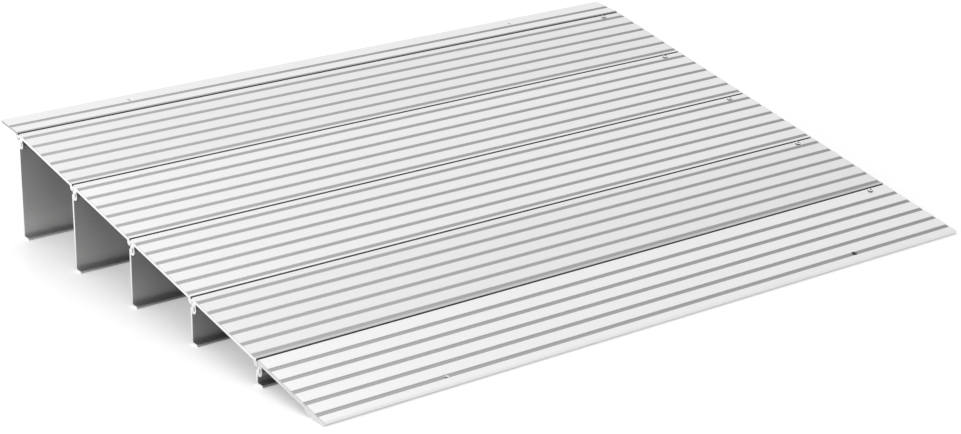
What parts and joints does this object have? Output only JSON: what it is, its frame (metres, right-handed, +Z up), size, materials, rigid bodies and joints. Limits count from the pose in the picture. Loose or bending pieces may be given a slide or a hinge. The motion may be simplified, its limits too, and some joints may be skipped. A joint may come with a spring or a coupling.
{
  "type": "threshold ramp",
  "caption": "Modular aluminium threshold ramp: ribbed deck panels hinged edge to edge on hook-in plate legs, with a hinged sill flap on top and a wedge nose on the floor.",
  "frame": {"origin": "on the floor, under the middle of the ramp's outline", "axes": "+X across the ramp, to the right for someone walking up it, +Y uphill, +Z up"},
  "size_m": [0.9144, 0.6802, 0.135],
  "materials": {
    "deck": "mill finish, brushed on the rib tops",
    "flap": "mill finish, brushed",
    "leg": "mill finish, dull",
    "screw": "zinc plated"
  },
  "bodies": {
    "top_flap": {"top_flap": "flap"},
    "deck_panel_1": {"deck_panel_1": "deck", "lock_screw_1": "screw"},
    "deck_panel_2": {"deck_panel_2": "deck", "lock_screw_2": "screw"},
    "deck_panel_3": {"deck_panel_3": "deck", "lock_screw_3": "screw"},
    "deck_panel_4": {"deck_panel_4": "deck", "lock_screw_4": "screw"},
    "toe_panel": {"toe_panel": "deck", "lock_screw_5": "screw"},
    "leg_1": {"leg_1": "leg"},
    "leg_2": {"leg_2": "leg"},
    "leg_3": {"leg_3": "leg"},
    "leg_4": {"leg_4": "leg"},
    "leg_5": {"leg_5": "leg"}
  },
  "joints": [
    {"name": "flap_hinge", "type": "hinge", "parent": "deck_panel_1", "child": "top_flap", "pos_m": [0, 0.29643, 0.12623], "axis": [1, 0, 0], "range_deg": [0, 29.75]},
    {"name": "seam_2_hinge", "type": "hinge", "parent": "deck_panel_2", "child": "deck_panel_1", "pos_m": [0, 0.16833, 0.10083], "axis": [1, 0, 0], "range_deg": [-2.75, 24]},
    {"name": "seam_3_hinge", "type": "hinge", "parent": "deck_panel_3", "child": "deck_panel_2", "pos_m": [0, 0.04022, 0.07543], "axis": [1, 0, 0], "range_deg": [-2.75, 24]},
    {"name": "seam_4_hinge", "type": "hinge", "parent": "deck_panel_3", "child": "deck_panel_4", "pos_m": [0, -0.08789, 0.05003], "axis": [-1, 0, 0], "range_deg": [-2.75, 24]},
    {"name": "seam_5_hinge", "type": "hinge", "parent": "deck_panel_4", "child": "toe_panel", "pos_m": [0, -0.21599, 0.02463], "axis": [-1, 0, 0], "range_deg": [-2.75, 24]},
    {"name": "leg_1_swing", "type": "hinge", "parent": "deck_panel_1", "child": "leg_1", "pos_m": [0, 0.29081, 0.11783], "axis": [1, 0, 0], "range_deg": [0, 25]},
    {"name": "leg_2_swing", "type": "hinge", "parent": "deck_panel_2", "child": "leg_2", "pos_m": [0, 0.1627, 0.09243], "axis": [1, 0, 0], "range_deg": [0, 25]},
    {"name": "leg_3_swing", "type": "hinge", "parent": "deck_panel_3", "child": "leg_3", "pos_m": [0, 0.0346, 0.06703], "axis": [1, 0, 0], "range_deg": [0, 25]},
    {"name": "leg_4_swing", "type": "hinge", "parent": "deck_panel_4", "child": "leg_4", "pos_m": [0, -0.09351, 0.04163], "axis": [1, 0, 0], "range_deg": [0, 25]},
    {"name": "leg_5_swing", "type": "hinge", "parent": "toe_panel", "child": "leg_5", "pos_m": [0, -0.22162, 0.01623], "axis": [1, 0, 0], "range_deg": [0, 25]}
  ]
}
